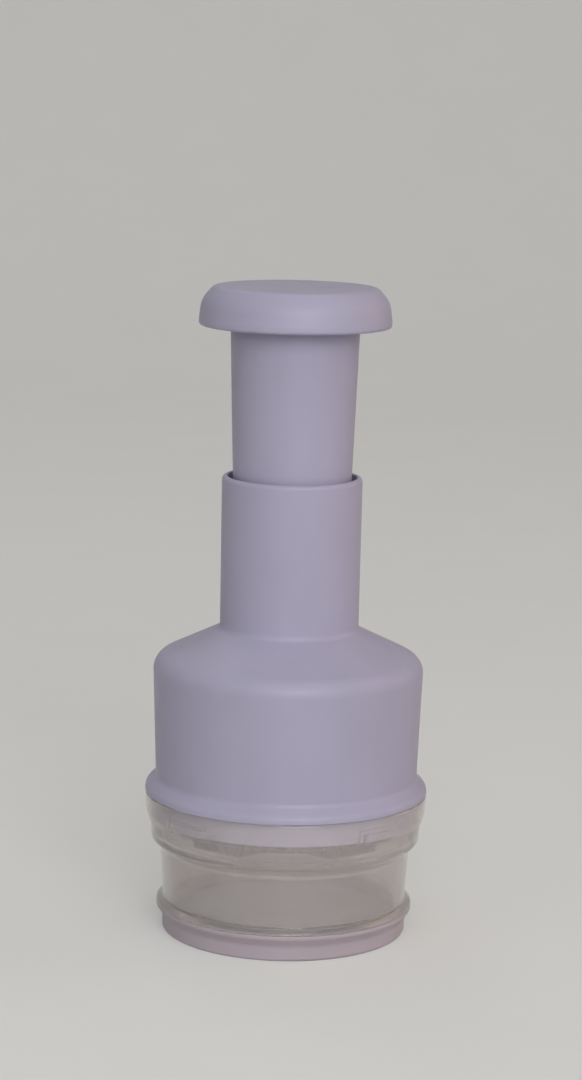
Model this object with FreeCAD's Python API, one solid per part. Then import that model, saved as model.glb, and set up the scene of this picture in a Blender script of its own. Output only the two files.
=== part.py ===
"""Plunger food chopper: a palm knob drives zigzag blades down into a clear chopping chamber.

The chopper stands on its base cup, with the plunger up. Pressing the knob slides the plunger tube
down the neck of the housing. A twisted square shaft hangs in the plunger and runs through a nut in
the housing, so the blades turn by one ratchet tooth per stroke, and a coil spring lifts them back.
The blades cut against a mat in the base cup. A slotted wiper disc strips them on their way up.

Millimetres, +Z up. The origin is the centre of the base cup's foot. All heights are at rest.
"""

import FreeCAD, Part
import math
import os

Vector = FreeCAD.Vector
Z_AXIS = Vector(0, 0, 1)

# ---------------------------------------------------------------- clearances
FACE_GAP = 0.1          # between flat faces that rest on each other and can part
SNUG_GAP = 0.05         # around what is pressed in, moulded in or screwed in
BEARING_GAP = 0.05      # radial, shaft in its bush
RUN_GAP = 0.08          # radial, plunger guide in the neck
LOOSE_GAP = 0.35        # between moving pieces that pass without guiding each other
END_GAP = 1.5           # between moving pieces at the end of the stroke
OVERCUT = 1.0           # how far a cut reaches beyond what it cuts

# ---------------------------------------------------------------- rounded edges that repeat
FINE_ROUND = 0.2
EDGE_ROUND = 0.3
RIM_ROUND = 0.4
SOFT_ROUND = 0.5

# ---------------------------------------------------------------- clear chopping chamber
CHAMBER_WALL = 2.0
WINDOW_RADIUS = 38.0    # outside, at the foot of the clear wall
WINDOW_FLARE = 0.9      # how much wider it is at the top
WINDOW_HEIGHT = 16.4
CONE_HEIGHT = 2.6
INNER_CONE_FOOT_RISE = 0.7  # the cone's foot lies this much higher inside than outside
INNER_CONE_TOP_RISE = 1.9
LOWER_BAND_OUTSTAND = 3.4
LOWER_BAND_DRAFT = 0.4  # how much narrower the band is at its foot
LOWER_BAND_BORE_DRAFT = 0.8
LOWER_BAND_HEIGHT = 6.0
BAND_STEP = 0.5         # the upper band stands out from the lower one by this
INNER_STEP_RISE = 0.6   # the step inside lies this far above the one outside
UPPER_BAND_FLARE = 1.15
UPPER_BAND_DRAFT = 0.3  # what is left of the flare a third of the way up
UPPER_BAND_HEIGHT = 8.7
FLANGE_WIDTH = 2.0
FLANGE_EDGE = 0.6
FLANGE_SLOPE = 1.2
SPIGOT_STEP = 1.5       # the part inside the base cup is this much smaller in radius
WINDOW_FOOT_ROUND = 0.8
WINDOW_TOP_ROUND = 2.0
LOWER_BAND_ROUND = 2.0
UPPER_BAND_ROUND = 6.0
CHAMBER_RIM_ROUND = 0.6
SPIGOT_ROUND = 1.0
CONE_ROUND = 1.5        # inside the cone, above and below it

# ---------------------------------------------------------------- base cup and cutting mat
CUP_HEIGHT = 8.4
CUP_FLOOR = 1.6
CUP_FOOT_RADIUS = 38.1
CUP_FOOT_HEIGHT = 4.6
CUP_LIP_HEIGHT = 1.1
CUP_BASE_ROUND = 0.8
CUP_FOOT_ROUND = 2.0
CUP_LIP_ROUND = 1.2
FOOT_RECESS = 0.5       # the floor stands this far off the table, inside the foot ring
FOOT_RING_WIDTH = 3.6
MAT_THICKNESS = 2.0

# ---------------------------------------------------------------- bayonet between chamber and housing
BAYONET_COUNT = 4
BAYONET_FIRST_DEG = 45.0
LUG_WIDTH_DEG = 16.0
LUG_HEIGHT = 2.2
LUG_REACH = 1.1
LUG_GAP = 0.5
HOOK_WIDTH_DEG = 20.0
HOOK_HEIGHT = 1.6
STOP_WIDTH_DEG = 2.5

# ---------------------------------------------------------------- upper housing
HOUSING_WALL = 1.9
BODY_FLARE = 1.65
BODY_HEIGHT = 49.1
SKIRT_GAP = 0.9         # from the skirt down to the step inside the chamber
LIP_HEIGHT = 4.8        # the lip rests on the chamber's rim
LIP_WALL = 2.0
LIP_OVERHANG = 0.1      # the lip stands out from the chamber's rim by this
LIP_DRAFT = 0.25
LIP_DROP = 2.7          # from the lip's root down to its upper corner
LIP_GROOVE = 2.0        # how deep the groove under the lip is
LIP_ROUND = 2.6
LIP_FILLET = 1.8
BODY_CORNER_FILLET = 5.5
SHOULDER_RISE = 9.9
NECK_BORE = 19.9
NECK_WALL = 1.6
NECK_HEIGHT = 47.4
NECK_FLARE = 0.15
NECK_ROOT_FILLET = 2.0
NECK_RIM_FILLET = 1.3
SHELF_THICKNESS = 2.5
SHELF_FILLET = 0.6
RIB_COUNT = 6
RIB_THICKNESS = 1.4
RIB_DEPTH = 2.2

# ---------------------------------------------------------------- wiper disc and its ring
RING_FLANGE = 1.3
RING_LIP_WIDTH = 3.0
RING_WALL = 0.9
WIPER_THICKNESS = 2.2

# ---------------------------------------------------------------- blades and hub
BLADE_THICKNESS = 0.6
BLADE_EDGE_THICKNESS = 0.12
BLADE_BEVEL = 1.6
BLADE_PEEK = 8.2        # at rest the tips show this far below the housing
BLADE_SEAT = 3.2
BLADE_MARGIN = 1.9      # from the blades' ends to the hub's edge
BLADE_RUNS = 4          # straight runs in one zigzag
BLADES = {              # name: y of the centre line, and how far its ends lie towards +Y
    "blade_front": (-21.5, 4.5),
    "blade_middle": (1.5, 5.0),
    "blade_rear": (21.5, -4.5),
}
HUB_GAP = 1.8
HUB_THICKNESS = 4.5
HUB_BOSS_RADIUS = 7.5
HUB_BOSS_HEIGHT = 3.4
HUB_RIM_WIDTH = 1.8
HUB_RIM_HEIGHT = 2.0
HUB_RIB_HEIGHT = 1.6

# ---------------------------------------------------------------- drive shaft and its fastenings
SHAFT_RADIUS = 4.0
SQUARE_INSET = 0.05     # the square's corners lie this far inside the round bar
TWIST_SECTIONS = 9
JOURNAL_RADIUS = 3.0
JOURNAL_END = 1.3       # beyond the clip's groove
HUB_SCREW_RADIUS = 1.6
HUB_SCREW_LENGTH = 9.0
HUB_SCREW_HEAD_RADIUS = 3.4
HUB_SCREW_SLOT = 0.8
BUSH_WALL = 1.5
BUSH_FLANGE_WIDTH = 0.9
BUSH_FLANGE = 1.4
WASHER_THICKNESS = 0.5
CLIP_WIDTH = 2.0
CLIP_THICKNESS = 0.7
CLIP_GROOVE_DEPTH = 0.8
CLIP_MOUTH = 3.6
CLIP_RISE = 0.65        # the bush stands this far above the plunger tube's top

# ---------------------------------------------------------------- index nut, ratchet and cover
INDEX_TEETH = 12        # the shaft turns one tooth per stroke
TOOTH_HEIGHT = 1.2
TOOTH_LAND = 0.05       # what is left of a tooth at its low end
TOOTH_ROOT = 0.2        # the teeth start this far inside their ring
TOOTH_INSET = 0.5
TOOTH_LAG_DEG = 1.0
TOOTH_GAP = 0.15
NUT_WALL = 5.0
NUT_HEIGHT = 5.4
NUT_PLAY = 1.6          # the nut lifts this far to slip on the way up
SEAT_RING_HEIGHT = 1.3
COVER_WALL = 1.2
COVER_FLANGE = 1.5
COVER_ROUND = 0.8

# ---------------------------------------------------------------- plunger tube and stop ring
PLUNGER_SHOW = 46.2     # from the neck's rim up to the knob's underside
TUBE_TOP_GAP = 0.1      # the tube's top is this much smaller in radius than the neck's bore
TUBE_TAPER = 0.0315     # radius lost per millimetre, downwards
TUBE_WALL = 1.7
TUBE_INSET = 2.2        # how far the tube's top reaches into the knob
TUBE_LUG = 1.2          # width left round the screws, inside the knob's plate
WEB_THICKNESS = 3.0
WEB_ROUND = 0.6
GUIDE_HEIGHT = 3.6
GUIDE_ROUND = 0.6
STOP_RING_HEIGHT = 2.4
STOP_RING_GROOVE = 0.5
STOP_RING_SPLIT_DEG = 16.0

# ---------------------------------------------------------------- return spring
SPRING_WIRE_RADIUS = 0.8
SPRING_TURNS = 12
SPRING_END_TURNS = 1.25
SPRING_SPAN = 0.5       # the wire is swept in spans of about this many turns
SPRING_END_PITCH = 1.1  # in wire diameters
SPRING_CLEARANCE = 1.5  # radial, inside the tube's lower end
SPRING_SEAT_MARGIN = 0.6

# ---------------------------------------------------------------- knob
KNOB_OVERHANG = 9.7
KNOB_HEIGHT = 12.0
KNOB_WALL = 2.4
KNOB_BELLY = 2.0        # height of the widest place above the underside
KNOB_SHOULDER = 7.9     # height of the corner that the side turns in at
KNOB_SHOULDER_INSET = 0.7
KNOB_SHOULDER_FILLET = 8.0
KNOB_RIM_FILLET = 1.0
KNOB_BELLY_FILLET = 2.0
KNOB_INSIDE_FILLET = 2.0
KNOB_CROWN_ROUND = 2.2
KNOB_CROWN_INSET = 4.4  # the flat top ends this far inside the knob's full radius
KNOB_BEAD = 0.7         # the bead that the knob's plate snaps over
PLATE_THICKNESS = 2.4
PLATE_LEDGE = 1.2
KNOB_SCREW_COUNT = 3
KNOB_SCREW_RADIUS = 1.2
KNOB_SCREW_LENGTH = 9.0
KNOB_SCREW_HEAD_RADIUS = 2.2
KNOB_SCREW_HEAD_HEIGHT = 1.7
SCREW_BOSS_WALL = 1.2
SCREW_BOSS_FLOOR = 0.8

# ================================================================ levels, from the table up
cup_floor_top = FOOT_RECESS + CUP_FLOOR
mat_top = cup_floor_top + MAT_THICKNESS
chamber_foot = mat_top + LOOSE_GAP
flange_bottom = CUP_HEIGHT + FACE_GAP
window_bottom = flange_bottom + FLANGE_EDGE + FLANGE_SLOPE
window_top = window_bottom + WINDOW_HEIGHT
lower_band_bottom = window_top + CONE_HEIGHT
lower_band_top = lower_band_bottom + LOWER_BAND_HEIGHT
inner_step = lower_band_top + INNER_STEP_RISE
chamber_rim = lower_band_top + UPPER_BAND_HEIGHT

housing_bottom = inner_step + SKIRT_GAP
lip_bottom = chamber_rim + FACE_GAP
lip_top = lip_bottom + LIP_HEIGHT
body_corner = housing_bottom + BODY_HEIGHT
neck_root = body_corner + SHOULDER_RISE
neck_rim = neck_root + NECK_HEIGHT

ring_lip_top = housing_bottom + RING_FLANGE
wiper_bottom = ring_lip_top + FACE_GAP
wiper_top = wiper_bottom + WIPER_THICKNESS
blade_tip = housing_bottom - BLADE_PEEK
stroke = blade_tip - mat_top - LOOSE_GAP
hub_bottom = wiper_top + stroke + END_GAP
hub_top = hub_bottom + HUB_THICKNESS
boss_top = hub_top + HUB_BOSS_HEIGHT
countersink_rise = HUB_SCREW_HEAD_RADIUS - HUB_SCREW_RADIUS
tenon_bottom = hub_bottom + countersink_rise + LOOSE_GAP

shelf_bottom = boss_top + END_GAP
shelf_top = shelf_bottom + SHELF_THICKNESS
seat_ring_top = shelf_top + SEAT_RING_HEIGHT
nut_bottom = seat_ring_top + TOOTH_GAP
nut_top = nut_bottom + TOOTH_HEIGHT + NUT_HEIGHT
cover_ceiling = nut_top + NUT_PLAY
cover_top = cover_ceiling + COVER_WALL
spring_bottom = shelf_top + COVER_FLANGE
twist_top = nut_top + stroke + END_GAP

tube_bottom = spring_bottom + stroke
guide_top = tube_bottom + GUIDE_HEIGHT
stop_ring_bottom = guide_top + LOOSE_GAP
stop_ring_top = stop_ring_bottom + STOP_RING_HEIGHT
knob_bottom = neck_rim + PLUNGER_SHOW
plate_bottom = knob_bottom + KNOB_BEAD
plate_top = plate_bottom + PLATE_THICKNESS
tube_top = knob_bottom + TUBE_INSET
web_bottom = tube_top - WEB_THICKNESS
spring_top = web_bottom - WASHER_THICKNESS
knob_top = knob_bottom + KNOB_HEIGHT

bush_bottom = web_bottom - BUSH_FLANGE
bush_top = tube_top + CLIP_RISE
clip_bottom = bush_top + SNUG_GAP
clip_top = clip_bottom + CLIP_THICKNESS
thrust_washer_top = bush_bottom - SNUG_GAP
shaft_shoulder = thrust_washer_top - WASHER_THICKNESS - SNUG_GAP
shaft_top = clip_top + SNUG_GAP + JOURNAL_END
knob_screw_tip = plate_top - KNOB_SCREW_LENGTH
pilot_bottom = knob_screw_tip - LOOSE_GAP
screw_boss_bottom = pilot_bottom - SCREW_BOSS_FLOOR

# ================================================================ radii that follow from others
window_top_radius = WINDOW_RADIUS + WINDOW_FLARE
spigot_radius = WINDOW_RADIUS - SPIGOT_STEP
flange_radius = WINDOW_RADIUS + FLANGE_WIDTH
lower_band_radius = window_top_radius + LOWER_BAND_OUTSTAND
lower_band_bore = lower_band_radius - CHAMBER_WALL
upper_band_foot = lower_band_radius + BAND_STEP
upper_band_radius = upper_band_foot + UPPER_BAND_FLARE
upper_band_bore = upper_band_radius - CHAMBER_WALL
cup_bore = spigot_radius + LOOSE_GAP

skirt_radius = upper_band_bore - LUG_GAP - LUG_REACH
skirt_bore = skirt_radius - HOUSING_WALL
lug_radius = skirt_radius + LUG_REACH
hook_bore = skirt_radius + LUG_GAP
body_radius = skirt_radius + BODY_FLARE
body_bore = body_radius - HOUSING_WALL
lip_radius = upper_band_radius + LIP_OVERHANG
lip_bore = lip_radius - LIP_WALL
neck_root_radius = NECK_BORE + NECK_WALL
neck_rim_radius = neck_root_radius + NECK_FLARE
rib_bore = skirt_bore - RIB_DEPTH
ring_radius = skirt_bore - SNUG_GAP
ring_bore = ring_radius - RING_WALL
wiper_radius = ring_bore - LOOSE_GAP
hub_radius = rib_bore - HUB_GAP
blade_reach = hub_radius - BLADE_MARGIN

shaft_corner = SHAFT_RADIUS - SQUARE_INSET
shaft_square = shaft_corner * math.sqrt(2)
bush_bore = JOURNAL_RADIUS + BEARING_GAP
bush_radius = bush_bore + BUSH_WALL
bush_flange_radius = bush_radius + BUSH_FLANGE_WIDTH
clip_groove_radius = JOURNAL_RADIUS - CLIP_GROOVE_DEPTH
clip_radius = JOURNAL_RADIUS + CLIP_WIDTH
shelf_hole_radius = SHAFT_RADIUS + END_GAP
nut_radius = SHAFT_RADIUS + NUT_WALL
cover_bore = nut_radius + LOOSE_GAP
cover_radius = cover_bore + COVER_WALL

guide_radius = NECK_BORE - RUN_GAP
tube_top_radius = NECK_BORE - TUBE_TOP_GAP
tube_end_radius = tube_top_radius - TUBE_TAPER * (knob_bottom - guide_top)
tube_end_bore = tube_end_radius - TUBE_WALL
stop_ring_bore = tube_end_radius + TUBE_TAPER * (stop_ring_top + stroke - guide_top) + LOOSE_GAP
spring_radius = tube_end_bore - SPRING_CLEARANCE - SPRING_WIRE_RADIUS
spring_inside = spring_radius - SPRING_WIRE_RADIUS
spring_seat_radius = spring_radius + SPRING_WIRE_RADIUS + SPRING_SEAT_MARGIN
knob_radius = tube_top_radius + KNOB_OVERHANG
knob_crown_radius = knob_radius - KNOB_CROWN_INSET
knob_bore = knob_radius - KNOB_WALL
screw_circle = (bush_flange_radius + spring_inside) / 2
screw_boss_radius = KNOB_SCREW_RADIUS + SCREW_BOSS_WALL
tube_neck_radius = screw_circle + screw_boss_radius + TUBE_LUG

# ================================================================ turns, in degrees
tooth_pitch = 360.0 / INDEX_TEETH
twist_per_mm = tooth_pitch / stroke     # the blades turn one tooth over the stroke


# ================================================================ shape helpers
def rounded_wire(corners):
    """A closed wire in the XZ plane from (radius, height) corners, each with an optional fillet."""
    points = [Vector(corner[0], 0, corner[1]) for corner in corners]
    fillets = [corner[2] if len(corner) > 2 else 0.0 for corner in corners]
    count = len(points)
    starts, ends, arcs = [], [], []
    for i, corner in enumerate(points):
        start, end, arc = corner, corner, None
        if fillets[i] > 0:
            before = (points[i - 1] - corner).normalize()
            after = (points[(i + 1) % count] - corner).normalize()
            half = before.getAngle(after) / 2
            inward = (before + after).normalize()
            start = corner + before * (fillets[i] / math.tan(half))
            end = corner + after * (fillets[i] / math.tan(half))
            middle = corner + inward * (fillets[i] / math.sin(half) - fillets[i])
            arc = Part.Arc(start, middle, end).toShape()
        starts.append(start)
        ends.append(end)
        arcs.append(arc)
    edges = []
    for i, arc in enumerate(arcs):
        if arc is not None:
            edges.append(arc)
        following = starts[(i + 1) % count]
        if ends[i].distanceToPoint(following) > 1e-6:
            edges.append(Part.LineSegment(ends[i], following).toShape())
    return Part.Wire(edges)


def turned(corners):
    """A solid of revolution about Z from the corners of its half section."""
    return Part.Face(rounded_wire(corners)).revolve(Vector(0, 0, 0), Z_AXIS, 360)


def disc(radius, bottom, top):
    return Part.makeCylinder(radius, top - bottom, Vector(0, 0, bottom))


def tube(outer, inner, bottom, top):
    return disc(outer, bottom, top).cut(disc(inner, bottom - OVERCUT, top + OVERCUT))


def box(x, y, bottom, top):
    """A box between two x and two y values."""
    return Part.makeBox(x[1] - x[0], y[1] - y[0], top - bottom, Vector(x[0], y[0], bottom))


def prism(wire, height):
    return Part.Face(wire).extrude(Z_AXIS * height)


def turned_to(shape, degrees):
    """A copy of the shape, turned about Z."""
    copy = shape.copy()
    copy.rotate(Vector(0, 0, 0), Z_AXIS, degrees)
    return copy


def around(shape, count):
    """Copies of the shape, evenly spaced about Z."""
    return [turned_to(shape, 360.0 * i / count) for i in range(count)]


def polar(radius, degrees, height=0.0):
    angle = math.radians(degrees)
    return Vector(radius * math.cos(angle), radius * math.sin(angle), height)


def sector(inner, outer, bottom, top, middle_deg, width_deg):
    """A block of a ring, between two radii and two angles."""
    low = middle_deg - width_deg / 2
    high = middle_deg + width_deg / 2
    outside = [polar(outer, angle, bottom) for angle in (low, middle_deg, high)]
    inside = [polar(inner, angle, bottom) for angle in (high, middle_deg, low)]
    wire = Part.Wire([
        Part.Arc(*outside).toShape(),
        Part.LineSegment(outside[-1], inside[0]).toShape(),
        Part.Arc(*inside).toShape(),
        Part.LineSegment(inside[-1], outside[0]).toShape(),
    ])
    return prism(wire, top - bottom)


def polygon_wire(points):
    return Part.makePolygon(points + points[:1])


def square_wire(side, height, degrees):
    corner = side / math.sqrt(2)
    return polygon_wire([polar(corner, degrees + 45 + 90 * i, height) for i in range(4)])


def twist_at(height):
    """Angle of the twisted square at a height, in degrees."""
    return twist_per_mm * (height - shelf_top)


def twisted_square(side, bottom, top):
    """A square bar whose angle depends on the height alone, so that it screws through its nut."""
    step = (top - bottom) / (TWIST_SECTIONS - 1)
    heights = [bottom + step * i for i in range(TWIST_SECTIONS)]
    return Part.makeLoft([square_wire(side, z, twist_at(z)) for z in heights], True, False)


def saw_teeth(inner, outer, bottom, height, lag_deg):
    """A ring of saw teeth. Each falls with the angle, so that a nut on them is held that way round."""
    teeth = []
    for i in range(INDEX_TEETH):
        start = i * tooth_pitch + lag_deg
        sides = []
        for angle, rise in ((start, height), (start + tooth_pitch, TOOTH_LAND)):
            low = [polar(radius, angle, bottom) for radius in (inner, outer)]
            high = [polar(radius, angle, bottom + rise) for radius in (outer, inner)]
            sides.append(polygon_wire(low + high))
        teeth.append(Part.makeLoft(sides, True, True))
    return teeth


def zigzag(centre_y, end_offset):
    """The centre line of one blade, seen from above. Its ends lie on the blades' reach."""
    half_length = math.sqrt(blade_reach ** 2 - (centre_y + end_offset) ** 2)
    points = []
    for i in range(BLADE_RUNS + 1):
        side = 1 if i % 2 == 0 else -1
        points.append(Vector(half_length * (2 * i / BLADE_RUNS - 1), centre_y + side * end_offset, 0))
    return points


def strip_wire(line, thickness, height, extension=0.0):
    """The outline of a strip of even thickness that follows the line, with mitred bends."""
    last = len(line) - 1
    left, right = [], []
    for i, point in enumerate(line):
        run_in = (point - line[i - 1] if i > 0 else line[1] - line[0]).normalize()
        run_out = (line[i + 1] - point if i < last else line[last] - line[last - 1]).normalize()
        across_in = Vector(-run_in.y, run_in.x, 0)
        across_out = Vector(-run_out.y, run_out.x, 0)
        mitre = (across_in + across_out).normalize()
        half = mitre * (thickness / 2 / mitre.dot(across_in))
        beyond = run_in * (extension * ((i == last) - (i == 0)))
        left.append(point + half + beyond + Z_AXIS * height)
        right.append(point - half + beyond + Z_AXIS * height)
    return polygon_wire(left + right[::-1])


def blade_slots(gap, bottom, top):
    """Room for every blade, with a gap all round."""
    slots = []
    for centre_y, end_offset in BLADES.values():
        outline = strip_wire(zigzag(centre_y, end_offset), BLADE_THICKNESS + 2 * gap, bottom, gap)
        slots.append(prism(outline, top - bottom))
    return slots


# ================================================================ base and chamber
def base_cup():
    lip_bottom = CUP_HEIGHT - CUP_LIP_HEIGHT
    foot_ring_bore = CUP_FOOT_RADIUS - FOOT_RING_WIDTH
    return turned([
        (0, FOOT_RECESS),
        (foot_ring_bore, FOOT_RECESS),
        (foot_ring_bore, 0, FINE_ROUND),
        (CUP_FOOT_RADIUS, 0, CUP_BASE_ROUND),
        (CUP_FOOT_RADIUS, CUP_FOOT_HEIGHT, CUP_FOOT_ROUND),
        (flange_radius, lip_bottom, CUP_LIP_ROUND),
        (flange_radius, CUP_HEIGHT, EDGE_ROUND),
        (cup_bore, CUP_HEIGHT, EDGE_ROUND),
        (cup_bore, cup_floor_top),
        (0, cup_floor_top),
    ])


def cutting_mat():
    radius = cup_bore - LOOSE_GAP
    return turned([
        (0, cup_floor_top),
        (radius, cup_floor_top, EDGE_ROUND),
        (radius, mat_top, SOFT_ROUND),
        (0, mat_top),
    ])


def bayonet_hook():
    """Hook inside the chamber's rim, over a lug of the housing, with a stop at one end."""
    bottom = housing_bottom + LUG_HEIGHT + FACE_GAP
    top = bottom + HOOK_HEIGHT
    outer = upper_band_bore + CHAMBER_WALL / 4
    stop_deg = BAYONET_FIRST_DEG - (HOOK_WIDTH_DEG + STOP_WIDTH_DEG) / 2
    hook = sector(hook_bore, outer, bottom, top, BAYONET_FIRST_DEG, HOOK_WIDTH_DEG)
    stop = sector(hook_bore, outer, lower_band_top, top, stop_deg, STOP_WIDTH_DEG)
    return hook.fuse(stop)


def chopping_chamber():
    knuckle = lower_band_top + UPPER_BAND_HEIGHT / 3
    spigot_bore = spigot_radius - CHAMBER_WALL
    shell = turned([
        (spigot_bore, chamber_foot, RIM_ROUND),
        (spigot_radius, chamber_foot, RIM_ROUND),
        (spigot_radius, flange_bottom),
        (flange_radius, flange_bottom, FINE_ROUND),
        (flange_radius, flange_bottom + FLANGE_EDGE, SOFT_ROUND),
        (WINDOW_RADIUS, window_bottom, WINDOW_FOOT_ROUND),
        (window_top_radius, window_top, WINDOW_TOP_ROUND),
        (lower_band_radius - LOWER_BAND_DRAFT, lower_band_bottom, LOWER_BAND_ROUND),
        (lower_band_radius, lower_band_top),
        (upper_band_foot, lower_band_top, EDGE_ROUND),
        (upper_band_radius - UPPER_BAND_DRAFT, knuckle, UPPER_BAND_ROUND),
        (upper_band_radius, chamber_rim, CHAMBER_RIM_ROUND),
        (upper_band_bore, chamber_rim, RIM_ROUND),
        (upper_band_bore, inner_step),
        (lower_band_bore, inner_step, EDGE_ROUND),
        (lower_band_bore - LOWER_BAND_BORE_DRAFT, lower_band_bottom + INNER_CONE_TOP_RISE, CONE_ROUND),
        (window_top_radius - CHAMBER_WALL, window_top + INNER_CONE_FOOT_RISE, CONE_ROUND),
        (WINDOW_RADIUS - CHAMBER_WALL, window_bottom, SPIGOT_ROUND),
        (spigot_bore, flange_bottom, SPIGOT_ROUND),
    ])
    return shell.fuse(around(bayonet_hook(), BAYONET_COUNT)).removeSplitter()


# ================================================================ housing
def shoulder_inside(radius):
    """Height of the shoulder's inner face at a radius."""
    slope = SHOULDER_RISE / (body_radius - neck_root_radius)
    return body_corner + (body_radius - radius) * slope - HOUSING_WALL * math.hypot(1, slope)


def body_at(height):
    """Outer radius of the skirt and the body at a height."""
    return skirt_radius + BODY_FLARE * (height - housing_bottom) / BODY_HEIGHT


def housing_rib():
    """Upright rib inside the body. Its root leans with the wall, and its foot keeps the wiper disc down."""
    foot = wiper_top + LOOSE_GAP
    top = shoulder_inside(skirt_bore) - HOUSING_WALL
    half = RIB_THICKNESS / 2
    outline = polygon_wire([
        Vector(rib_bore, -half, foot),
        Vector(body_at(foot) - HOUSING_WALL / 2, -half, foot),
        Vector(body_at(top) - HOUSING_WALL / 2, -half, top),
        Vector(rib_bore, -half, top),
    ])
    return Part.Face(outline).extrude(Vector(0, RIB_THICKNESS, 0))


def housing_lug():
    inner = skirt_radius - HOUSING_WALL / 2
    top = housing_bottom + LUG_HEIGHT
    return sector(inner, lug_radius, housing_bottom, top, BAYONET_FIRST_DEG, LUG_WIDTH_DEG)


def upper_housing():
    """Body, shoulder and neck in one moulding, with a lip that rests on the chamber's rim.

    The neck goes on inside, down to a shelf.
    """
    lip_groove_top = lip_bottom + LIP_GROOVE
    groove_radius = NECK_BORE + STOP_RING_GROOVE
    groove_top = stop_ring_top + SNUG_GAP
    groove_bottom = stop_ring_bottom - SNUG_GAP
    shell = turned([
        (skirt_bore, housing_bottom, EDGE_ROUND),
        (skirt_radius, housing_bottom, EDGE_ROUND),
        (body_at(lip_groove_top), lip_groove_top, EDGE_ROUND),
        (lip_bore, lip_groove_top, EDGE_ROUND),
        (lip_bore, lip_bottom, EDGE_ROUND),
        (lip_radius, lip_bottom, EDGE_ROUND),
        (lip_radius - LIP_DRAFT, lip_top - LIP_DROP, LIP_ROUND),
        (body_at(lip_top), lip_top, LIP_FILLET),
        (body_radius, body_corner, BODY_CORNER_FILLET),
        (neck_root_radius, neck_root, NECK_ROOT_FILLET),
        (neck_rim_radius, neck_rim, NECK_RIM_FILLET),
        (NECK_BORE, neck_rim, RIM_ROUND),
        (NECK_BORE, groove_top),
        (groove_radius, groove_top),
        (groove_radius, groove_bottom),
        (NECK_BORE, groove_bottom),
        (NECK_BORE, shelf_top),
        (shelf_hole_radius, shelf_top),
        (shelf_hole_radius, shelf_bottom),
        (neck_root_radius, shelf_bottom, SHELF_FILLET),
        (neck_root_radius, shoulder_inside(neck_root_radius)),
        (body_bore, shoulder_inside(body_bore), BODY_CORNER_FILLET - HOUSING_WALL),
    ])
    ribs = around(housing_rib(), RIB_COUNT)
    lugs = around(housing_lug(), BAYONET_COUNT)
    return shell.fuse(ribs + lugs).removeSplitter()


def wiper_ring():
    """Snaps into the skirt from below and carries the wiper disc on its lip."""
    lip_bore = ring_radius - RING_LIP_WIDTH
    return turned([
        (lip_bore, housing_bottom, EDGE_ROUND),
        (ring_radius, housing_bottom, EDGE_ROUND),
        (ring_radius, wiper_top, FINE_ROUND),
        (ring_bore, wiper_top, FINE_ROUND),
        (ring_bore, ring_lip_top),
        (lip_bore, ring_lip_top, FINE_ROUND),
    ])


def wiper_disc():
    """Slotted disc that the blades pass through and turn with them."""
    plate = turned([
        (0, wiper_bottom),
        (wiper_radius, wiper_bottom, EDGE_ROUND),
        (wiper_radius, wiper_top, EDGE_ROUND),
        (0, wiper_top),
    ])
    return plate.cut(blade_slots(LOOSE_GAP, wiper_bottom - OVERCUT, wiper_top + OVERCUT))


def stop_ring():
    """Split ring in the neck's groove. The plunger's guide collar comes up against it."""
    outer = NECK_BORE + STOP_RING_GROOVE - SNUG_GAP
    levels = (stop_ring_bottom, stop_ring_top)
    split = sector(stop_ring_bore - OVERCUT, outer + OVERCUT, *levels, 180.0, STOP_RING_SPLIT_DEG)
    return tube(outer, stop_ring_bore, *levels).cut(split)


# ================================================================ cutter: blades, hub and shaft
def blade(name):
    """A strip of steel bent to a zigzag, ground to an edge below and moulded into the hub above."""
    line = zigzag(*BLADES[name])
    return Part.makeLoft([
        strip_wire(line, BLADE_EDGE_THICKNESS, blade_tip),
        strip_wire(line, BLADE_THICKNESS, blade_tip + BLADE_BEVEL),
        strip_wire(line, BLADE_THICKNESS, hub_bottom + BLADE_SEAT),
    ], True, True)


def screw_cone(gap):
    """The countersunk head of the hub screw, with a gap all round."""
    head = HUB_SCREW_HEAD_RADIUS + gap
    shank = HUB_SCREW_RADIUS + gap
    return Part.makeCone(head, shank, countersink_rise, Vector(0, 0, hub_bottom))


def blade_hub():
    rim_bore = hub_radius - HUB_RIM_WIDTH
    rim_top = hub_top + HUB_RIM_HEIGHT
    hub = turned([
        (0, hub_bottom),
        (hub_radius, hub_bottom, SOFT_ROUND),
        (hub_radius, rim_top, RIM_ROUND),
        (rim_bore, rim_top, RIM_ROUND),
        (rim_bore, hub_top),
        (HUB_BOSS_RADIUS, hub_top),
        (HUB_BOSS_RADIUS, boss_top, SOFT_ROUND),
        (0, boss_top),
    ])
    half = RIB_THICKNESS / 2
    rib_run = (HUB_BOSS_RADIUS - half, rim_bore + half)
    rib = box(rib_run, (-half, half), hub_top - half, hub_top + HUB_RIB_HEIGHT)
    hub = hub.fuse(around(rib, RIB_COUNT))
    pocket_wire = square_wire(shaft_square + 2 * SNUG_GAP, tenon_bottom, twist_at(boss_top))
    pocket = prism(pocket_wire, boss_top + OVERCUT - tenon_bottom)
    screw_hole = disc(HUB_SCREW_RADIUS + SNUG_GAP, hub_bottom, tenon_bottom + OVERCUT)
    slots = blade_slots(SNUG_GAP, hub_bottom - OVERCUT, hub_bottom + BLADE_SEAT + SNUG_GAP)
    return hub.cut(slots + [pocket, screw_hole, screw_cone(SNUG_GAP)])


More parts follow.
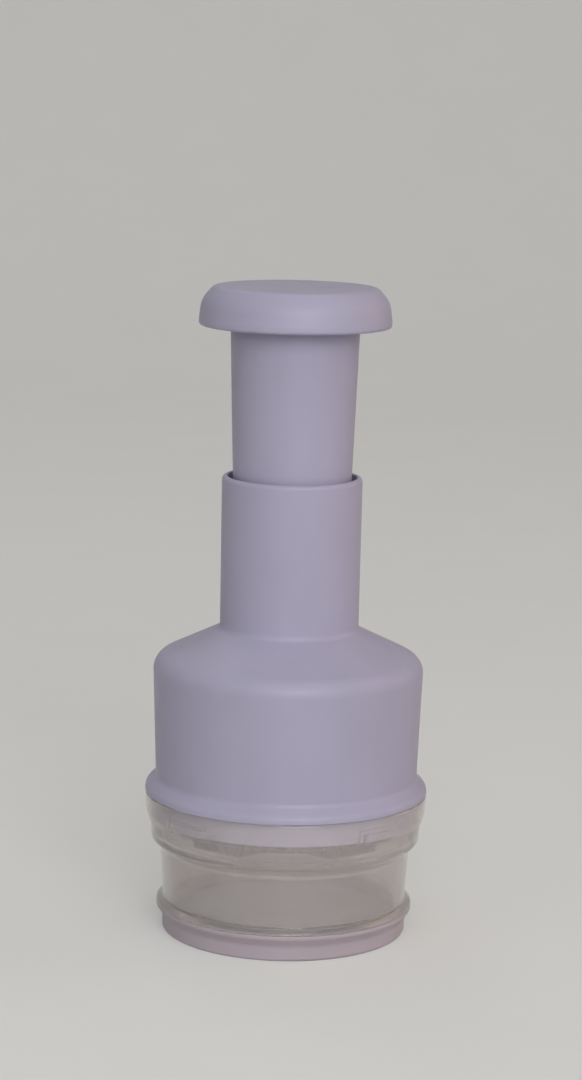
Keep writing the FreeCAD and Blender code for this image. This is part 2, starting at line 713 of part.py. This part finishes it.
def drive_shaft():
    """Steel shaft: square tenon in the hub, twisted square through the nut, round in the plunger."""
    tenon_foot = tenon_bottom + SNUG_GAP
    tenon = prism(square_wire(shaft_square, tenon_foot, twist_at(boss_top)), boss_top - tenon_foot)
    twisted = twisted_square(shaft_square, boss_top, twist_top)
    upper = turned([
        (0, twist_top),
        (SHAFT_RADIUS, twist_top),
        (SHAFT_RADIUS, shaft_shoulder, EDGE_ROUND),
        (JOURNAL_RADIUS, shaft_shoulder),
        (JOURNAL_RADIUS, bush_top),
        (clip_groove_radius, bush_top),
        (clip_groove_radius, clip_top + SNUG_GAP),
        (JOURNAL_RADIUS, clip_top + SNUG_GAP),
        (JOURNAL_RADIUS, shaft_top, SOFT_ROUND),
        (0, shaft_top),
    ])
    bore_top = hub_bottom + HUB_SCREW_LENGTH + OVERCUT
    screw_bore = disc(HUB_SCREW_RADIUS + SNUG_GAP, hub_bottom, bore_top)
    return tenon.fuse([twisted, upper]).removeSplitter().cut(screw_bore)


def cross_recess(length, width, bottom, top):
    bar = box((-length / 2, length / 2), (-width / 2, width / 2), bottom, top)
    return bar.fuse(turned_to(bar, 90))


def hub_screw():
    """Countersunk screw that draws the hub onto the shaft, flush with the hub's face."""
    shank = disc(HUB_SCREW_RADIUS, hub_bottom, hub_bottom + HUB_SCREW_LENGTH)
    recess_top = hub_bottom + countersink_rise / 2
    recess = cross_recess(HUB_SCREW_HEAD_RADIUS, HUB_SCREW_SLOT, hub_bottom, recess_top)
    return shank.fuse(screw_cone(0)).cut(recess)


def thrust_washer():
    outer = bush_flange_radius - SNUG_GAP
    bottom = thrust_washer_top - WASHER_THICKNESS
    return tube(outer, JOURNAL_RADIUS + SNUG_GAP, bottom, thrust_washer_top)


def retaining_clip():
    """Open clip in the shaft's groove, on top of the bush."""
    ring = tube(clip_radius, clip_groove_radius + SNUG_GAP, clip_bottom, clip_top)
    half = CLIP_MOUTH / 2
    return ring.cut(box((0, clip_radius), (-half, half), clip_bottom, clip_top))


# ================================================================ index mechanism on the housing's shelf
def ratchet_seat():
    """Toothed ring that stops the nut from turning on the way down."""
    ring = tube(nut_radius, shelf_hole_radius, shelf_top, seat_ring_top)
    inner = shelf_hole_radius + TOOTH_INSET
    outer = nut_radius - TOOTH_INSET
    teeth = saw_teeth(inner, outer, seat_ring_top - TOOTH_ROOT, TOOTH_HEIGHT + TOOTH_ROOT, 0.0)
    return ring.fuse(teeth).removeSplitter()


def index_nut():
    """Nut with a twisted square hole. Its lower face is the counterpart of the ratchet seat."""
    blank = turned([
        (0, nut_bottom),
        (nut_radius, nut_bottom),
        (nut_radius, nut_top, RIM_ROUND),
        (0, nut_top),
    ])
    socket_bottom = nut_bottom - TOOTH_ROOT
    socket_height = TOOTH_HEIGHT + TOOTH_ROOT
    outer = nut_radius + NUT_WALL
    sockets = saw_teeth(SHAFT_RADIUS, outer, socket_bottom, socket_height, -TOOTH_LAG_DEG)
    relief = disc(shelf_hole_radius, nut_bottom, nut_bottom + TOOTH_HEIGHT)
    hole = twisted_square(shaft_square + 2 * LOOSE_GAP, shelf_top, cover_ceiling)
    return blank.cut(sockets + [relief]).cut(hole)


def nut_cover():
    """Cap over the nut. The return spring stands on its flange and holds it down."""
    hole_radius = SHAFT_RADIUS + LOOSE_GAP
    return turned([
        (cover_bore, shelf_top),
        (spring_seat_radius, shelf_top, EDGE_ROUND),
        (spring_seat_radius, spring_bottom, RIM_ROUND),
        (cover_radius, spring_bottom, RIM_ROUND),
        (cover_radius, cover_top, COVER_ROUND),
        (hole_radius, cover_top, EDGE_ROUND),
        (hole_radius, cover_ceiling),
        (cover_bore, cover_ceiling),
    ])


# ================================================================ plunger
def return_spring():
    """Compression spring: close turns at both ends, open turns between."""
    low = spring_bottom + SNUG_GAP + SPRING_WIRE_RADIUS
    high = spring_top - SNUG_GAP - SPRING_WIRE_RADIUS
    end_rise = 2 * SPRING_WIRE_RADIUS * SPRING_END_PITCH * SPRING_END_TURNS
    end_coil = (end_rise, SPRING_END_TURNS)
    open_coil = (high - low - 2 * end_rise, SPRING_TURNS)
    level = low
    angle = 0.0
    edges = []
    for rise, turns in (end_coil, open_coil, end_coil):
        count = max(1, round(turns / SPRING_SPAN))
        for _ in range(count):
            span = Part.makeHelix(rise / turns, rise / count, spring_radius)
            span.rotate(Vector(0, 0, 0), Z_AXIS, angle)
            span.translate(Z_AXIS * level)
            edges.extend(span.Edges)
            level += rise / count
            angle += 360.0 * turns / count
    start = Vector(spring_radius, 0, low)
    section = Part.Wire([Part.Circle(start, Vector(0, 1, 0), SPRING_WIRE_RADIUS).toShape()])
    return Part.Wire(edges).makePipeShell([section], True, True)


def screw_places():
    return [polar(screw_circle, 90 + 360.0 * i / KNOB_SCREW_COUNT) for i in range(KNOB_SCREW_COUNT)]


def at_screws(radius, bottom, top):
    """Upright cylinders at the knob's screws."""
    return [Part.makeCylinder(radius, top - bottom, place + Z_AXIS * bottom) for place in screw_places()]


def plunger_tube():
    """Tapered tube with a guide collar below, a web for the bush and bosses for the knob's screws."""
    plate_seat = plate_bottom - SNUG_GAP
    body = turned([
        (0, web_bottom),
        (tube_top_radius - TUBE_WALL, web_bottom, WEB_ROUND),
        (tube_end_bore, guide_top),
        (tube_end_bore, tube_bottom, EDGE_ROUND),
        (guide_radius, tube_bottom, GUIDE_ROUND),
        (guide_radius, guide_top, RIM_ROUND),
        (tube_end_radius, guide_top, EDGE_ROUND),
        (tube_top_radius, knob_bottom),
        (tube_top_radius, plate_seat),
        (tube_neck_radius, plate_seat),
        (tube_neck_radius, tube_top, EDGE_ROUND),
        (0, tube_top),
    ])
    bosses = at_screws(screw_boss_radius, screw_boss_bottom, tube_top - WEB_THICKNESS / 2)
    pilots = at_screws(KNOB_SCREW_RADIUS + SNUG_GAP, pilot_bottom, tube_top + OVERCUT)
    bush_hole = disc(bush_radius + SNUG_GAP, web_bottom - OVERCUT, tube_top + OVERCUT)
    return body.fuse(bosses).cut(pilots + [bush_hole])


def shaft_bush():
    """Flanged bush, pressed up into the tube's web. The shaft hangs and turns in it."""
    flange_top = web_bottom - SNUG_GAP
    return turned([
        (bush_bore, bush_bottom),
        (bush_flange_radius, bush_bottom, EDGE_ROUND),
        (bush_flange_radius, flange_top, FINE_ROUND),
        (bush_radius, flange_top),
        (bush_radius, bush_top, EDGE_ROUND),
        (bush_bore, bush_top),
    ])


def spring_washer():
    inner = screw_circle + screw_boss_radius + LOOSE_GAP
    return tube(spring_seat_radius, inner, spring_top, web_bottom)


def knob_plate():
    """Underside of the knob, screwed down onto the tube. The palm knob snaps over its rim."""
    clip_room = clip_radius + LOOSE_GAP
    bore = tube_neck_radius + SNUG_GAP
    radius = knob_bore - SNUG_GAP
    plate = turned([
        (clip_room, tube_top + SNUG_GAP),
        (bore, tube_top + SNUG_GAP),
        (bore, plate_bottom),
        (radius, plate_bottom, RIM_ROUND),
        (radius, plate_top, EDGE_ROUND),
        (clip_room, plate_top),
    ])
    return plate.cut(at_screws(KNOB_SCREW_RADIUS + SNUG_GAP, plate_bottom, plate_top + OVERCUT))


def palm_knob():
    """Rounded cap that takes the palm, with a flat top."""
    plate_seat = plate_top + SNUG_GAP
    bead_top = plate_bottom - SNUG_GAP
    bead_bore = knob_bore - KNOB_BEAD
    inside = knob_bore - PLATE_LEDGE
    ceiling = knob_top - KNOB_WALL
    return turned([
        (bead_bore, knob_bottom, FINE_ROUND),
        (knob_radius, knob_bottom, KNOB_RIM_FILLET),
        (knob_radius, knob_bottom + KNOB_BELLY, KNOB_BELLY_FILLET),
        (knob_radius - KNOB_SHOULDER_INSET, knob_bottom + KNOB_SHOULDER, KNOB_SHOULDER_FILLET),
        (knob_crown_radius, knob_top, KNOB_CROWN_ROUND),
        (0, knob_top),
        (0, ceiling),
        (inside - KNOB_CROWN_INSET, ceiling, KNOB_INSIDE_FILLET),
        (inside, plate_seat + PLATE_LEDGE, KNOB_RIM_FILLET),
        (inside, plate_seat),
        (knob_bore, plate_seat),
        (knob_bore, bead_top),
        (bead_bore, bead_top, FINE_ROUND),
    ])


def knob_screw():
    """Pan-head screw that points down, with a cross recess."""
    radius = KNOB_SCREW_RADIUS
    head_radius = KNOB_SCREW_HEAD_RADIUS
    crown = plate_top + KNOB_SCREW_HEAD_HEIGHT
    recess_bottom = crown - KNOB_SCREW_HEAD_HEIGHT / 2
    screw = turned([
        (0, knob_screw_tip),
        (radius / 2, knob_screw_tip),
        (radius, knob_screw_tip + radius),
        (radius, plate_top),
        (head_radius, plate_top),
        (head_radius, crown, KNOB_SCREW_HEAD_HEIGHT / 2),
        (0, crown),
    ])
    return screw.cut(cross_recess(head_radius, head_radius / 4, recess_bottom, crown))


def knob_screws():
    screws = []
    for place in screw_places():
        screw = knob_screw()
        screw.translate(place)
        screws.append(screw)
    return Part.makeCompound(screws)


SUB_PARTS = [
    base_cup, cutting_mat, chopping_chamber,
    upper_housing, wiper_ring, wiper_disc, stop_ring,
    blade_hub, drive_shaft, hub_screw, thrust_washer, retaining_clip,
    ratchet_seat, index_nut, nut_cover,
    return_spring, plunger_tube, shaft_bush, spring_washer,
    knob_plate, palm_knob, knob_screws,
]


def main():
    os.makedirs("parts", exist_ok=True)
    for make in SUB_PARTS:
        make().exportStep("parts/" + make.__name__ + ".step")
    for name in BLADES:
        blade(name).exportStep("parts/" + name + ".step")


main()
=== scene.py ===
"""Looks of the plunger food chopper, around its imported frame. Metres, +Z up."""

import math

import bpy
from mathutils import Matrix, Vector


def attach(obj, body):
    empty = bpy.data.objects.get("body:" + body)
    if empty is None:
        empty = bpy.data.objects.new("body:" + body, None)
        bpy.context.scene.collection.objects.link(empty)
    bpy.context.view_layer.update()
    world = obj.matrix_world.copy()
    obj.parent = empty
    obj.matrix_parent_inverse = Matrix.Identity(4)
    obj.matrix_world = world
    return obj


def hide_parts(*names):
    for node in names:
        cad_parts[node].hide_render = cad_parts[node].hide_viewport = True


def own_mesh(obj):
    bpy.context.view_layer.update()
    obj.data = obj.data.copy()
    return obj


MM = 0.001

# ---- camera, at the photograph's viewing angle
CAMERA_DISTANCE = 0.8821
CAMERA_HEIGHT = 0.2755
CAMERA_PITCH = math.radians(9.8)
CAMERA_ROLL = math.radians(1.21)
FOCAL_PIXELS = 2900
PHOTO_HEIGHT = 1080
SENSOR = 36.0           # millimetres, as Blender takes it

# ---- studio
FLOOR_REACH = 6.0
FLOOR_BEND_START = 1.3
FLOOR_BEND_RADIUS = 0.9
FLOOR_BEND_STEPS = 24
BACKDROP_HEIGHT = 2.4
FLOOR_ROUGHNESS = 0.7
FLOOR_COLOUR = (0.54, 0.54, 0.525)
FLOOR_GLOW = 0.42       # only where the floor is seen, also by reflection or through clear walls
WORLD_COLOUR = (1.0, 1.0, 1.0)
WORLD_STRENGTH = 0.34
WORLD_GLOW = 0.08       # likewise, so that the world looks less dark beyond the floor
GLINTS = {-29.0: 0.25, -7.0: 0.5, 44.0: 0.25}    # watts, by degrees to the right of the front
GLINT_DISTANCE = 1.25
GLINT_HEIGHT = 0.55
GLINT_SIZE = 0.05
GLINT_COLOUR = (1.0, 1.0, 1.0)
LAMP_TARGET = (0, 0, 0.10)
NARROW = math.radians(90)
WIDE = math.pi
LAMPS = (               # name, place, size, watts, colour, spread
    ("key", (0.25, -1.16, 0.60), (0.7, 0.7), 1.92, (1.0, 0.98, 0.97), NARROW),
    ("top", (0.1, -0.5, 1.5), (0.8, 0.8), 1.9, (1.0, 0.98, 0.98), WIDE),
    ("back", (-0.6, 1.3, 1.7), (0.9, 0.9), 2.2, (1.0, 1.0, 1.0), WIDE),
    ("warm", (1.9, 0.6, 0.8), (0.95, 1.4), 4.6, (1.0, 0.50, 0.25), WIDE),
)

# ---- finishes, with linear colours
PLASTIC_COLOUR = (0.430, 0.408, 0.540)
# the base cup's plastic is the body's plastic, warmer, and lighter as painted light that makes up
# for the light the low cup gets less of
CUP_LIT_COLOUR = (0.475, 0.412, 0.462)
CLEAR_COLOUR = (0.78, 0.745, 0.735)
MAT_COLOUR = (0.60, 0.59, 0.60)
ACETAL_COLOUR = (0.72, 0.70, 0.62)
BLADE_COLOUR = (0.28, 0.285, 0.29)
SHAFT_COLOUR = (0.50, 0.50, 0.51)
SPRING_COLOUR = (0.36, 0.36, 0.38)
SCREW_COLOUR = (0.62, 0.61, 0.58)
BRASS_COLOUR = (0.58, 0.40, 0.16)

PLASTIC_ROUGHNESS = 0.42
ACETAL_ROUGHNESS = 0.5
CLEAR_ROUGHNESS = 0.13
CLEAR_INDEX = 1.33      # chosen: such plastics have about 1.5 to 1.6
MAT_ROUGHNESS = 0.6
BRASS_ROUGHNESS = 0.3

PLASTIC_NODES = ("palm_knob", "knob_plate", "plunger_tube", "upper_housing", "stop_ring",
                 "wiper_ring", "wiper_disc", "blade_hub")
ACETAL_NODES = ("ratchet_seat", "index_nut", "nut_cover")
BLADE_NODES = ("blade_front", "blade_middle", "blade_rear")
SHAFT_NODES = ("drive_shaft", "thrust_washer", "spring_washer")
SPRING_NODES = ("return_spring", "retaining_clip")
SCREW_NODES = ("hub_screw", "knob_screws")

BRUSHED_ALONG_Z = (1.0, 1.0, 0.06)
NOT_BRUSHED = (1, 1, 1)
STEELS = (              # nodes, name, colour, roughness, stretch of the marks, their depth
    (BLADE_NODES, "blade_steel", BLADE_COLOUR, 0.24, BRUSHED_ALONG_Z, 0.01 * MM),
    (SHAFT_NODES, "shaft_steel", SHAFT_COLOUR, 0.3, BRUSHED_ALONG_Z, 0.008 * MM),
    (SPRING_NODES, "spring_steel", SPRING_COLOUR, 0.32, NOT_BRUSHED, 0.005 * MM),
    (SCREW_NODES, "screw_steel", SCREW_COLOUR, 0.2, NOT_BRUSHED, 0.004 * MM),
)

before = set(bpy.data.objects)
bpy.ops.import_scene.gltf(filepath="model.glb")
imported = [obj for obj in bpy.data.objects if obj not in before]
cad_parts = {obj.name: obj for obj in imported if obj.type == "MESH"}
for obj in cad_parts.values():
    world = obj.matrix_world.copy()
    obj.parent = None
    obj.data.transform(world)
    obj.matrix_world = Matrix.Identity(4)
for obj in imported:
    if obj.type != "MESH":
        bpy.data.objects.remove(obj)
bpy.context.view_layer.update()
scene = bpy.context.scene


# ---------------------------------------------------------------- material helpers
def strength_when_seen(tree, lighting, extra):
    """A strength that is larger by extra for what the camera, reflections and clear walls see."""
    rays = tree.nodes.new("ShaderNodeLightPath")
    seen = rays.outputs["Is Camera Ray"]
    for kind in ("Is Glossy Ray", "Is Transmission Ray"):
        either = tree.nodes.new("ShaderNodeMath")
        either.operation = "MAXIMUM"
        tree.links.new(seen, either.inputs[0])
        tree.links.new(rays.outputs[kind], either.inputs[1])
        seen = either.outputs["Value"]
    total = tree.nodes.new("ShaderNodeMath")
    total.operation = "MULTIPLY_ADD"
    total.inputs[1].default_value = extra
    total.inputs[2].default_value = lighting
    tree.links.new(seen, total.inputs[0])
    return total.outputs["Value"]


class Finish:
    """A node material built round one Principled shader, with object coordinates in metres."""

    def __init__(self, name, colour, roughness, **constants):
        self.material = bpy.data.materials.new(name)
        self.material.use_nodes = True
        self.tree = self.material.node_tree
        self.shader = self.tree.nodes["Principled BSDF"]
        self.shader.inputs["Base Color"].default_value = (*colour, 1.0)
        self.shader.inputs["Roughness"].default_value = roughness
        for socket, value in constants.items():
            self.shader.inputs[socket.replace("_", " ")].default_value = value
        self.place = self.add("ShaderNodeTexCoord").outputs["Object"]

    def add(self, kind, **settings):
        """A new node of this kind, with its settings."""
        node = self.tree.nodes.new(kind)
        for name, value in settings.items():
            setattr(node, name, value)
        return node

    def link(self, source, target):
        self.tree.links.new(source, target)

    def stretched(self, scale):
        """Object coordinates, scaled along each axis."""
        mapping = self.add("ShaderNodeMapping")
        mapping.inputs["Scale"].default_value = scale
        self.link(self.place, mapping.inputs["Vector"])
        return mapping.outputs["Vector"]

    def noise(self, size, detail, roughness=0.5, stretch=(1, 1, 1), distortion=0.0):
        """Noise whose features are about size metres across."""
        node = self.add("ShaderNodeTexNoise")
        node.inputs["Scale"].default_value = 1.0 / size
        node.inputs["Detail"].default_value = detail
        node.inputs["Roughness"].default_value = roughness
        node.inputs["Distortion"].default_value = distortion
        self.link(self.stretched(stretch), node.inputs["Vector"])
        return node.outputs["Fac"]

    def ranged(self, source, low, high, from_low=0.3, from_high=0.7):
        """A value that goes from low to high while the source goes from from_low to from_high."""
        node = self.add("ShaderNodeMapRange")
        node.inputs["From Min"].default_value = from_low
        node.inputs["From Max"].default_value = from_high
        node.inputs["To Min"].default_value = low
        node.inputs["To Max"].default_value = high
        self.link(source, node.inputs["Value"])
        return node.outputs["Result"]

    def tint(self, source, colour, low, high, start=0.3, end=0.7):
        """The base colour, from low times the colour to high times it, along a value."""
        node = self.add("ShaderNodeValToRGB")
        stops = ((start, low), (end, high))
        for element, (place, factor) in zip(node.color_ramp.elements, stops):
            element.position = place
            element.color = (*shade(colour, factor), 1.0)
        self.link(source, node.inputs["Fac"])
        self.link(node.outputs["Color"], self.shader.inputs["Base Color"])

    def roughness(self, source):
        self.link(source, self.shader.inputs["Roughness"])

    def bump(self, *layers):
        """Bump layers, each (height source, depth in metres), one on top of the other."""
        normal = None
        for source, depth in layers:
            node = self.add("ShaderNodeBump")
            node.inputs["Strength"].default_value = 1.0
            node.inputs["Distance"].default_value = depth
            self.link(source, node.inputs["Height"])
            if normal is not None:
                self.link(normal, node.inputs["Normal"])
            normal = node.outputs["Normal"]
        self.link(normal, self.shader.inputs["Normal"])

    def let_lamps_through(self):
        """Shadow rays pass, so that what stands behind a clear wall is lit."""
        output = self.tree.nodes["Material Output"]
        rays = self.add("ShaderNodeLightPath")
        open_air = self.add("ShaderNodeBsdfTransparent")
        mix = self.add("ShaderNodeMixShader")
        self.link(rays.outputs["Is Shadow Ray"], mix.inputs["Fac"])
        self.link(self.shader.outputs["BSDF"], mix.inputs[1])
        self.link(open_air.outputs["BSDF"], mix.inputs[2])
        self.link(mix.outputs["Shader"], output.inputs["Surface"])

    def glow_when_seen(self, colour, strength):
        """A glow that the camera, reflections and clear walls see. It gives no diffuse light."""
        seen = strength_when_seen(self.tree, 0.0, strength)
        self.link(seen, self.shader.inputs["Emission Strength"])
        self.shader.inputs["Emission Color"].default_value = (*colour, 1.0)


def shade(colour, factor):
    """A colour times a factor, with no part above 1."""
    return tuple(min(1.0, part * factor) for part in colour)


def moulded_plastic(name, colour, roughness):
    """Moulded plastic: cloudy pigment, satin with slow changes of gloss, and a fine skin."""
    finish = Finish(name, colour, roughness, IOR=1.5, Specular_IOR_Level=0.4)
    cloud = finish.noise(22 * MM, detail=4, stretch=(1, 1, 0.5))
    finish.tint(cloud, colour, 0.965, 1.03)
    sheen = finish.noise(9 * MM, detail=5)
    finish.roughness(finish.ranged(sheen, roughness - 0.05, roughness + 0.06))
    skin = finish.noise(0.45 * MM, detail=2)
    waves = finish.noise(14 * MM, detail=1)
    finish.bump((waves, 0.05 * MM), (skin, 0.004 * MM))
    return finish.material


def clear_plastic():
    """Clear moulding with a milky haze, fine scuffs and a gloss coat. Lamps shine through it."""
    finish = Finish("clear_plastic", CLEAR_COLOUR, CLEAR_ROUGHNESS, IOR=CLEAR_INDEX,
                    Transmission_Weight=0.8, Coat_Weight=0.6, Coat_Roughness=0.04)
    haze = finish.noise(12 * MM, detail=3)
    finish.tint(haze, CLEAR_COLOUR, 0.97, 1.02)
    scuffs = finish.noise(2.0 * MM, detail=5, roughness=0.6)
    finish.roughness(finish.ranged(scuffs, CLEAR_ROUGHNESS - 0.02, CLEAR_ROUGHNESS + 0.03))
    skin = finish.noise(0.6 * MM, detail=2)
    finish.bump((skin, 0.002 * MM))
    finish.let_lamps_through()
    return finish.material


def cutting_mat_plastic():
    """Soft plastic with fine cuts from the blades."""
    finish = Finish("mat_plastic", MAT_COLOUR, MAT_ROUGHNESS, IOR=1.49)
    cloud = finish.noise(12 * MM, detail=4)
    finish.tint(cloud, MAT_COLOUR, 0.93, 1.05)
    cuts = finish.noise(1.6 * MM, detail=2, stretch=(0.25, 1.6, 1), distortion=1.2)
    pits = finish.noise(0.5 * MM, detail=3)
    edges = finish.ranged(cuts, 0.0, 1.0, from_low=0.44, from_high=0.5)
    finish.bump((edges, 0.05 * MM), (pits, 0.01 * MM))
    return finish.material


def steel(name, colour, roughness, brushed, depth):
    """Steel with brushing marks along the axis in which brushed is small."""
    finish = Finish(name, colour, roughness, Metallic=1.0)
    marks = finish.noise(0.7 * MM, detail=5, roughness=0.65, stretch=brushed)
    stain = finish.noise(7 * MM, detail=3)
    finish.tint(stain, colour, 0.9, 1.06)
    finish.roughness(finish.ranged(marks, roughness - 0.08, roughness + 0.12))
    finish.bump((marks, depth))
    return finish.material


def turned_brass():
    """Brass with turning lines, tarnished in patches."""
    finish = Finish("brass", BRASS_COLOUR, BRASS_ROUGHNESS, Metallic=1.0)
    lines = finish.noise(0.3 * MM, detail=2, stretch=(0.05, 0.05, 1))
    tarnish = finish.noise(4 * MM, detail=4)
    finish.tint(tarnish, BRASS_COLOUR, 0.75, 1.0, start=0.35, end=0.65)
    finish.roughness(finish.ranged(tarnish, BRASS_ROUGHNESS - 0.06, BRASS_ROUGHNESS + 0.12))
    finish.bump((lines, 0.01 * MM))
    return finish.material


def cover(names, material):
    """One material for all of these nodes."""
    for name in names:
        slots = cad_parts[name].data.materials
        slots.clear()
        slots.append(material)


def finish_nodes():
    """A material for every node of the frame."""
    cover(PLASTIC_NODES, moulded_plastic("white_plastic", PLASTIC_COLOUR, PLASTIC_ROUGHNESS))
    # the base cup gets a lighter copy of the plastic: painted light
    cover(("base_cup",), moulded_plastic("cup_lit_plastic", CUP_LIT_COLOUR, PLASTIC_ROUGHNESS))
    cover(ACETAL_NODES, moulded_plastic("acetal", ACETAL_COLOUR, ACETAL_ROUGHNESS))
    cover(("chopping_chamber",), clear_plastic())
    cover(("cutting_mat",), cutting_mat_plastic())
    for nodes, name, colour, roughness, brushed, depth in STEELS:
        cover(nodes, steel(name, colour, roughness, brushed, depth))
    cover(("shaft_bush",), turned_brass())


def add_spring():
    """The return spring as a piece of its own, on the housing, in place of the frame's spring."""
    spring = bpy.data.objects.new("coil_spring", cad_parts["return_spring"].data.copy())
    scene.collection.objects.link(spring)
    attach(spring, "housing")
    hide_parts("return_spring")
    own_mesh(spring)


# ---------------------------------------------------------------- camera, floor and lights
def add_camera():
    """The photograph's camera: in front of the chopper, looking down a little, and rolled."""
    data = bpy.data.cameras.new("camera")
    data.sensor_width = SENSOR
    data.lens = FOCAL_PIXELS / PHOTO_HEIGHT * SENSOR
    camera = bpy.data.objects.new("camera", data)
    scene.collection.objects.link(camera)
    forward = Vector((0, math.cos(CAMERA_PITCH), -math.sin(CAMERA_PITCH)))
    level_up = Vector((0, math.sin(CAMERA_PITCH), math.cos(CAMERA_PITCH)))
    level_right = Vector((1, 0, 0))
    right = level_right * math.cos(CAMERA_ROLL) + level_up * math.sin(CAMERA_ROLL)
    up = level_up * math.cos(CAMERA_ROLL) - level_right * math.sin(CAMERA_ROLL)
    turn = Matrix((right, up, -forward)).transposed()
    camera.matrix_world = Matrix.Translation((0, -CAMERA_DISTANCE, CAMERA_HEIGHT)) @ turn.to_4x4()
    scene.camera = camera


def add_floor():
    """One sheet: flat under the chopper, then curved up into a backdrop."""
    profile = [(-FLOOR_REACH, 0.0), (FLOOR_BEND_START, 0.0)]
    for i in range(1, FLOOR_BEND_STEPS + 1):
        angle = math.pi / 2 * i / FLOOR_BEND_STEPS
        profile.append((FLOOR_BEND_START + FLOOR_BEND_RADIUS * math.sin(angle),
                        FLOOR_BEND_RADIUS * (1 - math.cos(angle))))
    profile.append((profile[-1][0], BACKDROP_HEIGHT))
    points = [(x, y, z) for y, z in profile for x in (-FLOOR_REACH, FLOOR_REACH)]
    faces = [(2 * i, 2 * i + 1, 2 * i + 3, 2 * i + 2) for i in range(len(profile) - 1)]
    mesh = bpy.data.meshes.new("floor")
    mesh.from_pydata(points, [], faces)
    mesh.polygons.foreach_set("use_smooth", [True] * len(faces))
    floor = bpy.data.objects.new("floor", mesh)
    scene.collection.objects.link(floor)
    finish = Finish("floor", FLOOR_COLOUR, FLOOR_ROUGHNESS)
    paper = finish.noise(60 * MM, detail=5)
    finish.tint(paper, FLOOR_COLOUR, 0.985, 1.01)
    finish.glow_when_seen(FLOOR_COLOUR, FLOOR_GLOW)
    mesh.materials.append(finish.material)


def add_lamp(name, place, size, power, colour, spread):
    """A rectangular lamp that faces the middle of the chopper."""
    data = bpy.data.lights.new(name, "AREA")
    data.shape = "RECTANGLE"
    data.size, data.size_y = size
    data.energy = power
    data.color = colour
    data.spread = spread
    lamp = bpy.data.objects.new(name, data)
    scene.collection.objects.link(lamp)
    lamp.location = place
    aim = Vector(LAMP_TARGET) - Vector(place)
    lamp.rotation_euler = aim.to_track_quat("-Z", "Y").to_euler()


def add_light():
    """A pale world, the soft lamps, and small ones for the glints."""
    world = bpy.data.worlds.new("studio")
    world.use_nodes = True
    sky = world.node_tree.nodes["Background"]
    sky.inputs["Color"].default_value = (*WORLD_COLOUR, 1.0)
    strength = strength_when_seen(world.node_tree, WORLD_STRENGTH, WORLD_GLOW)
    world.node_tree.links.new(strength, sky.inputs["Strength"])
    scene.world = world
    for name, place, size, power, colour, spread in LAMPS:
        add_lamp(name, place, size, power, colour, spread)
    for degrees, power in GLINTS.items():
        angle = math.radians(degrees)
        place = (GLINT_DISTANCE * math.sin(angle), -GLINT_DISTANCE * math.cos(angle), GLINT_HEIGHT)
        add_lamp("glint", place, (GLINT_SIZE, GLINT_SIZE), power, GLINT_COLOUR, WIDE)


add_camera()
add_floor()
add_light()
finish_nodes()
add_spring()
scene.view_settings.view_transform = "Standard"
